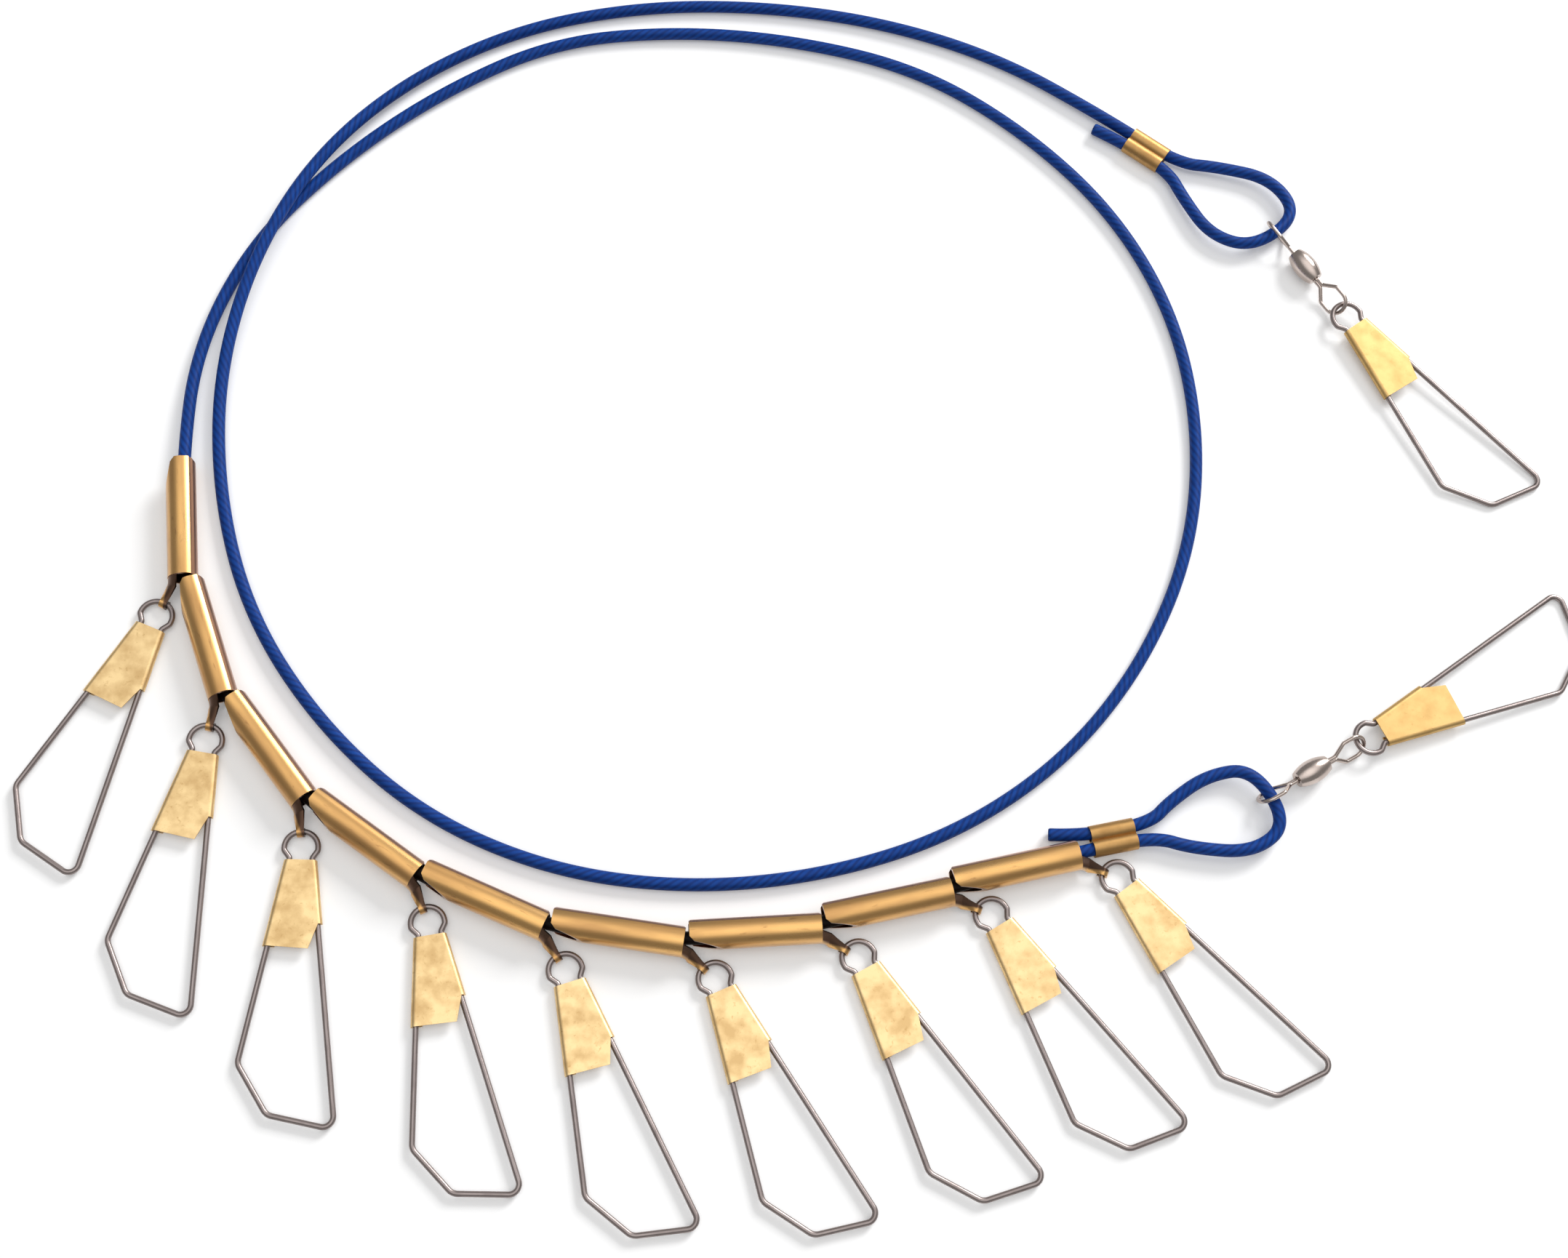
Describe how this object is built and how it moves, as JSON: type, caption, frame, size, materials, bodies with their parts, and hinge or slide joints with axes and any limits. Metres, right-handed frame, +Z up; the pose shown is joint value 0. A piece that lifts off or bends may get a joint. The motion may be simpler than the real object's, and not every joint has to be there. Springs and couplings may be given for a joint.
{
  "type": "fish stringer",
  "caption": "Cable fish stringer with rolled brass sleeves, hanging wire snaps with folded plates, and a swivel with a snap at each looped end, laid flat in a coil.",
  "frame": {"origin": "on the surface it lies on, under the middle of the box round its metal pieces", "axes": "+Z up from that surface, +X towards the two end snaps, +Y away from the row of snaps"},
  "size_m": [0.3884, 0.3313, 0.0096],
  "materials": {
    "cable_coating": "smooth tinted coating over twisted steel wire",
    "ferrule_brass": "pressed, satin",
    "sleeve_brass": "rolled sheet, aged and slightly stained",
    "plate_brass": "pressed sheet, pale and lightly scratched",
    "spring_wire": "drawn spring wire, dull",
    "swivel_nickel": "nickel plate, glossy"
  },
  "bodies": {
    "root": {"cable_loop_upper": "cable_coating", "cable_free_run": "cable_coating", "cable_in_sleeves": "cable_coating", "cable_loop_lower": "cable_coating", "ferrule_upper": "ferrule_brass", "ferrule_lower": "ferrule_brass"},
    "sleeve_1": {"sleeve_1": "sleeve_brass"},
    "snap_1": {"clip_plate_1": "plate_brass", "eye_wire_1": "spring_wire"},
    "bail_1": {"bail_1": "spring_wire"},
    "sleeve_2": {"sleeve_2": "sleeve_brass"},
    "snap_2": {"clip_plate_2": "plate_brass", "eye_wire_2": "spring_wire"},
    "bail_2": {"bail_2": "spring_wire"},
    "sleeve_3": {"sleeve_3": "sleeve_brass"},
    "snap_3": {"clip_plate_3": "plate_brass", "eye_wire_3": "spring_wire"},
    "bail_3": {"bail_3": "spring_wire"},
    "sleeve_4": {"sleeve_4": "sleeve_brass"},
    "snap_4": {"clip_plate_4": "plate_brass", "eye_wire_4": "spring_wire"},
    "bail_4": {"bail_4": "spring_wire"},
    "sleeve_5": {"sleeve_5": "sleeve_brass"},
    "snap_5": {"clip_plate_5": "plate_brass", "eye_wire_5": "spring_wire"},
    "bail_5": {"bail_5": "spring_wire"},
    "sleeve_6": {"sleeve_6": "sleeve_brass"},
    "snap_6": {"clip_plate_6": "plate_brass", "eye_wire_6": "spring_wire"},
    "bail_6": {"bail_6": "spring_wire"},
    "sleeve_7": {"sleeve_7": "sleeve_brass"},
    "snap_7": {"clip_plate_7": "plate_brass", "eye_wire_7": "spring_wire"},
    "bail_7": {"bail_7": "spring_wire"},
    "sleeve_8": {"sleeve_8": "sleeve_brass"},
    "snap_8": {"clip_plate_8": "plate_brass", "eye_wire_8": "spring_wire"},
    "bail_8": {"bail_8": "spring_wire"},
    "sleeve_9": {"sleeve_9": "sleeve_brass"},
    "snap_9": {"clip_plate_9": "plate_brass", "eye_wire_9": "spring_wire"},
    "bail_9": {"bail_9": "spring_wire"},
    "loop_ring_upper": {"loop_ring_upper": "swivel_nickel"},
    "swivel_barrel_upper": {"swivel_barrel_upper": "swivel_nickel"},
    "snap_ring_upper": {"snap_ring_upper": "swivel_nickel"},
    "snap_upper": {"clip_plate_upper": "plate_brass", "eye_wire_upper": "spring_wire"},
    "bail_upper": {"bail_upper": "spring_wire"},
    "loop_ring_lower": {"loop_ring_lower": "swivel_nickel"},
    "swivel_barrel_lower": {"swivel_barrel_lower": "swivel_nickel"},
    "snap_ring_lower": {"snap_ring_lower": "swivel_nickel"},
    "snap_lower": {"clip_plate_lower": "plate_brass", "eye_wire_lower": "spring_wire"},
    "bail_lower": {"bail_lower": "spring_wire"}
  },
  "joints": [
    {"name": "sleeve_spin_1", "type": "hinge", "parent": "root", "child": "sleeve_1", "pos_m": [-0.16079, 0.0426, 0.0039], "axis": [-0.0976, 0.9952, 0], "range_deg": [-20, 25]},
    {"name": "snap_lift_1", "type": "hinge", "parent": "sleeve_1", "child": "snap_1", "pos_m": [-0.16239, 0.00562, 0.00145], "axis": [-0.8878, 0.4602, 0], "range_deg": [-45, 70]},
    {"name": "bail_open_1", "type": "hinge", "parent": "snap_1", "child": "bail_1", "pos_m": [-0.17892, -0.01752, 0.00145], "axis": [-0.7572, 0.3183, 0.5704], "range_deg": [0, 35]},
    {"name": "sleeve_spin_2", "type": "hinge", "parent": "root", "child": "sleeve_2", "pos_m": [-0.15619, 0.01046, 0.0039], "axis": [-0.3338, 0.9426, 0], "range_deg": [-20, 25]},
    {"name": "snap_lift_2", "type": "hinge", "parent": "sleeve_2", "child": "snap_2", "pos_m": [-0.14886, -0.02582, 0.00145], "axis": [-0.9724, 0.2334, 0], "range_deg": [-45, 70]},
    {"name": "bail_open_2", "type": "hinge", "parent": "snap_2", "child": "bail_2", "pos_m": [-0.15973, -0.05209, 0.00145], "axis": [-0.8091, 0.1412, 0.5704], "range_deg": [0, 35]},
    {"name": "sleeve_spin_3", "type": "hinge", "parent": "root", "child": "sleeve_3", "pos_m": [-0.14377, -0.01977, 0.0039], "axis": [-0.6074, 0.7944, 0], "range_deg": [-20, 25]},
    {"name": "snap_lift_3", "type": "hinge", "parent": "sleeve_3", "child": "snap_3", "pos_m": [-0.12564, -0.05204, 0.00145], "axis": [-0.9971, -0.0767, 0], "range_deg": [-45, 70]},
    {"name": "bail_open_3", "type": "hinge", "parent": "snap_3", "child": "bail_3", "pos_m": [-0.13177, -0.07965, 0.00145], "axis": [-0.8212, 0.0172, 0.5704], "range_deg": [0, 35]},
    {"name": "sleeve_spin_4", "type": "hinge", "parent": "root", "child": "sleeve_4", "pos_m": [-0.12272, -0.04467, 0.0039], "axis": [-0.809, 0.5878, 0], "range_deg": [-20, 25]},
    {"name": "snap_lift_4", "type": "hinge", "parent": "sleeve_4", "child": "snap_4", "pos_m": [-0.09612, -0.07042, 0.00145], "axis": [-0.9336, -0.3584, 0], "range_deg": [-45, 70]},
    {"name": "bail_open_4", "type": "hinge", "parent": "snap_4", "child": "bail_4", "pos_m": [-0.09642, -0.09858, 0.00145], "axis": [-0.8089, -0.1426, 0.5704], "range_deg": [0, 35]},
    {"name": "sleeve_spin_5", "type": "hinge", "parent": "root", "child": "sleeve_5", "pos_m": [-0.09567, -0.06245, 0.0039], "axis": [-0.915, 0.4035, 0], "range_deg": [-20, 25]},
    {"name": "snap_lift_5", "type": "hinge", "parent": "sleeve_5", "child": "snap_5", "pos_m": [-0.06424, -0.082, 0.00145], "axis": [-0.8368, -0.5476, 0], "range_deg": [-45, 70]},
    {"name": "bail_open_5", "type": "hinge", "parent": "snap_5", "child": "bail_5", "pos_m": [-0.06054, -0.10978, 0.00145], "axis": [-0.7829, -0.2484, 0.5704], "range_deg": [0, 35]},
    {"name": "sleeve_spin_6", "type": "hinge", "parent": "root", "child": "sleeve_6", "pos_m": [-0.06531, -0.07413, 0.0039], "axis": [-0.989, 0.1478, 0], "range_deg": [-20, 25]},
    {"name": "snap_lift_6", "type": "hinge", "parent": "sleeve_6", "child": "snap_6", "pos_m": [-0.02983, -0.0847, 0.00145], "axis": [-0.6626, -0.749, 0], "range_deg": [-45, 70]},
    {"name": "bail_open_6", "type": "hinge", "parent": "snap_6", "child": "bail_6", "pos_m": [-0.02286, -0.1115, 0.00145], "axis": [-0.7538, -0.3262, 0.5704], "range_deg": [0, 35]},
    {"name": "sleeve_spin_7", "type": "hinge", "parent": "root", "child": "sleeve_7", "pos_m": [-0.03312, -0.07722, 0.0039], "axis": [-0.9982, -0.0593, 0], "range_deg": [-20, 25]},
    {"name": "snap_lift_7", "type": "hinge", "parent": "sleeve_7", "child": "snap_7", "pos_m": [0.00378, -0.08024, 0.00145], "axis": [-0.4939, -0.8695, 0], "range_deg": [-45, 70]},
    {"name": "bail_open_7", "type": "hinge", "parent": "snap_7", "child": "bail_7", "pos_m": [0.01332, -0.10593, 0.00145], "axis": [-0.7225, -0.3907, 0.5704], "range_deg": [0, 35]},
    {"name": "sleeve_spin_8", "type": "hinge", "parent": "root", "child": "sleeve_8", "pos_m": [-0.00113, -0.07304, 0.0039], "axis": [-0.9774, -0.2113, 0], "range_deg": [-20, 25]},
    {"name": "snap_lift_8", "type": "hinge", "parent": "sleeve_8", "child": "snap_8", "pos_m": [0.03579, -0.07038, 0.00145], "axis": [-0.3551, -0.9348, 0], "range_deg": [-45, 70]},
    {"name": "bail_open_8", "type": "hinge", "parent": "snap_8", "child": "bail_8", "pos_m": [0.04662, -0.09524, 0.00145], "axis": [-0.7048, -0.4218, 0.5704], "range_deg": [0, 35]},
    {"name": "sleeve_spin_9", "type": "hinge", "parent": "root", "child": "sleeve_9", "pos_m": [0.03004, -0.06415, 0.0039], "axis": [-0.9759, -0.2181, 0], "range_deg": [-20, 25]},
    {"name": "snap_lift_9", "type": "hinge", "parent": "sleeve_9", "child": "snap_9", "pos_m": [0.06694, -0.06123, 0.00145], "axis": [-0.3486, -0.9373, 0], "range_deg": [-45, 70]},
    {"name": "bail_open_9", "type": "hinge", "parent": "snap_9", "child": "bail_9", "pos_m": [0.07988, -0.08532, 0.00145], "axis": [-0.6637, -0.4839, 0.5704], "range_deg": [0, 35]},
    {"name": "ring_swing_upper", "type": "hinge", "parent": "root", "child": "loop_ring_upper", "pos_m": [0.12416, 0.11512, 0.0033], "axis": [-0.8281, -0.5606, 0], "range_deg": [-60, 60]},
    {"name": "barrel_spin_upper", "type": "hinge", "parent": "loop_ring_upper", "child": "swivel_barrel_upper", "pos_m": [0.13123, 0.10469, 0.0033], "axis": [0.5606, -0.8281, 0], "continuous": true},
    {"name": "snap_ring_spin_upper", "type": "hinge", "parent": "swivel_barrel_upper", "child": "snap_ring_upper", "pos_m": [0.13375, 0.10096, 0.0033], "axis": [0.5606, -0.8281, 0], "continuous": true},
    {"name": "snap_lift_upper", "type": "hinge", "parent": "snap_ring_upper", "child": "snap_upper", "pos_m": [0.13913, 0.09301, 0.0033], "axis": [-0.8281, -0.5606, 0], "range_deg": [-45, 60]},
    {"name": "bail_open_upper", "type": "hinge", "parent": "snap_upper", "child": "bail_upper", "pos_m": [0.1502, 0.06688, 0.0023], "axis": [-0.6597, -0.4904, 0.5695], "range_deg": [0, 35]},
    {"name": "ring_swing_lower", "type": "hinge", "parent": "root", "child": "loop_ring_lower", "pos_m": [0.10933, -0.04214, 0.0033], "axis": [0.4894, -0.8721, 0], "range_deg": [-60, 60]},
    {"name": "barrel_spin_lower", "type": "hinge", "parent": "loop_ring_lower", "child": "swivel_barrel_lower", "pos_m": [0.12032, -0.03597, 0.0033], "axis": [0.8721, 0.4894, 0], "continuous": true},
    {"name": "snap_ring_spin_lower", "type": "hinge", "parent": "swivel_barrel_lower", "child": "snap_ring_lower", "pos_m": [0.12425, -0.03377, 0.0033], "axis": [0.8721, 0.4894, 0], "continuous": true},
    {"name": "snap_lift_lower", "type": "hinge", "parent": "snap_ring_lower", "child": "snap_lower", "pos_m": [0.13262, -0.02907, 0.0033], "axis": [0.4894, -0.8721, 0], "range_deg": [-45, 60]},
    {"name": "bail_open_lower", "type": "hinge", "parent": "snap_lower", "child": "bail_lower", "pos_m": [0.16006, -0.02214, 0.00232], "axis": [0.3753, -0.7295, 0.5718], "range_deg": [0, 35]}
  ]
}
